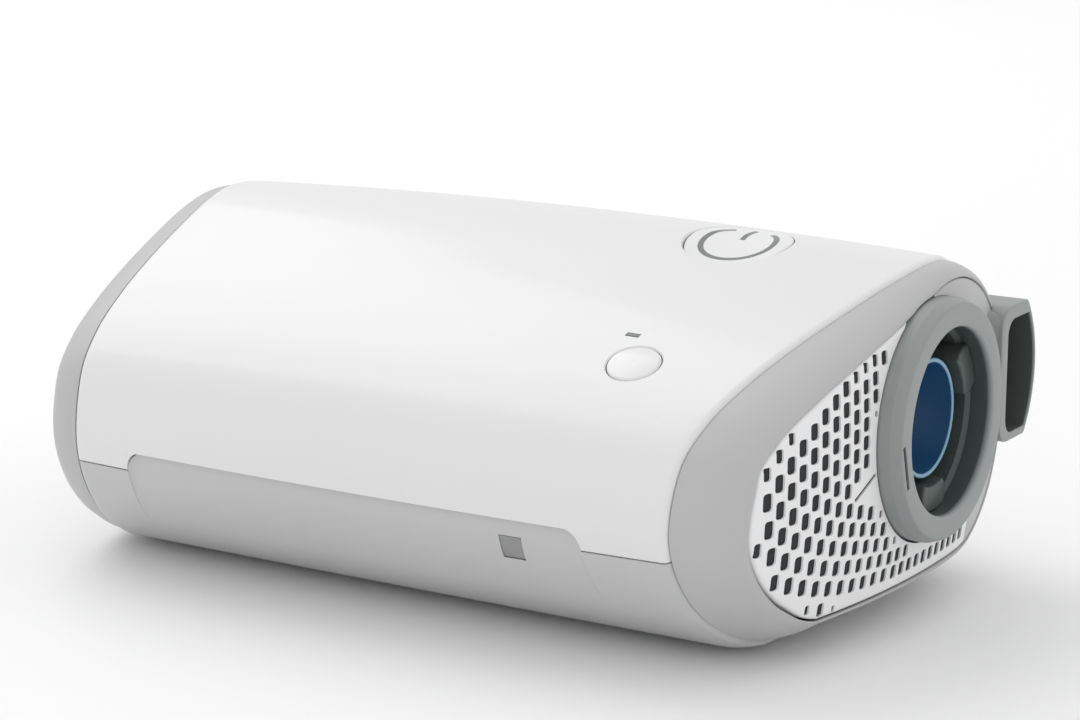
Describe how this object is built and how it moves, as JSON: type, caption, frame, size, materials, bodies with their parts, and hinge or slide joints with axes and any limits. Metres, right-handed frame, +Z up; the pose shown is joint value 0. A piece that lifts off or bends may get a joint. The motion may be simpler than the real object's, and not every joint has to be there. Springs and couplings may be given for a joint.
{
  "type": "cpap machine",
  "caption": "Pillow-shaped travel breathing-pressure machine with a slotted filter cover, hose port, power inlet, press keys and an inner blower.",
  "frame": {"origin": "middle of the length and depth, on the table under the feet", "axes": "+X towards the air-port end, -Y towards the sloping front, +Z up"},
  "size_m": [0.136, 0.084, 0.052],
  "materials": {
    "shell_white": "smooth gloss",
    "shell_pale": "smooth, slightly duller",
    "end_grey": "fine satin",
    "inner_plastic": "moulded",
    "cover_white": "satin",
    "filter_media": "pressed fibre",
    "collar_grey": "satin",
    "nozzle_blue": "gloss",
    "socket_black": "matte",
    "contact_metal": "plated",
    "key_white": "gloss",
    "light_lens": "unlit lens",
    "window_grey": "smoked",
    "board_green": "solder mask",
    "component_black": "moulded",
    "foot_rubber": "matte",
    "can_metal": "drawn",
    "screw_steel": "turned",
    "blower_plastic": "moulded",
    "impeller_white": "moulded",
    "rotor_iron": "ground",
    "winding_copper": "enamelled winding",
    "boot_rubber": "silicone rubber",
    "foam_dark": "open foam",
    "tube_clear": "silicone tube",
    "wire_black": "sleeved wire",
    "ribbon_tan": "flexible film"
  },
  "bodies": {
    "case": {"upper_shell": "shell_white", "lower_shell": "shell_pale", "far_end_cap": "end_grey", "port_bezel": "end_grey", "port_bulkhead": "inner_plastic", "outlet_collar": "collar_grey", "outlet_nozzle": "nozzle_blue", "inlet_surround": "collar_grey", "socket_core": "socket_black", "socket_contacts": "contact_metal", "status_light": "light_lens", "scoop_window": "window_grey", "button_board": "board_green", "start_switch": "component_black", "pairing_switch": "component_black", "board_posts": "inner_plastic", "rubber_feet": "foot_rubber", "chassis": "inner_plastic", "main_board": "board_green", "board_components": "component_black", "wireless_module": "can_metal", "board_screws": "screw_steel", "volute_base": "blower_plastic", "volute_cover": "blower_plastic", "volute_screws": "screw_steel", "motor_stator": "winding_copper", "motor_can": "can_metal", "lower_bearing": "screw_steel", "upper_bearing": "screw_steel", "blower_boot": "boot_rubber", "inlet_foam": "foam_dark", "outlet_duct": "boot_rubber", "flow_sensor": "component_black", "sensor_tube": "tube_clear", "power_harness": "wire_black", "ribbon_cable": "ribbon_tan"},
    "cover": {"filter_cover": "cover_white", "filter_pad": "filter_media"},
    "start_key": {"start_button": "key_white"},
    "pairing_key": {"pairing_button": "key_white"},
    "rotor": {"impeller": "impeller_white", "motor_shaft": "screw_steel", "motor_rotor": "rotor_iron"}
  },
  "joints": [
    {"name": "start_press", "type": "slide", "parent": "case", "child": "start_key", "axis": [0, 0.2924, -0.9563], "range_m": [0, 0.0005], "stiffness_N_per_m": 1500},
    {"name": "pairing_press", "type": "slide", "parent": "case", "child": "pairing_key", "axis": [0, 0.2924, -0.9563], "range_m": [0, 0.0005], "stiffness_N_per_m": 1500},
    {"name": "cover_pull", "type": "slide", "parent": "case", "child": "cover", "axis": [1, 0, 0], "range_m": [0, 0.012]},
    {"name": "rotor_spin", "type": "hinge", "parent": "case", "child": "rotor", "pos_m": [0.002, -0.005, 0.02], "axis": [0, 0, 1], "continuous": true}
  ]
}
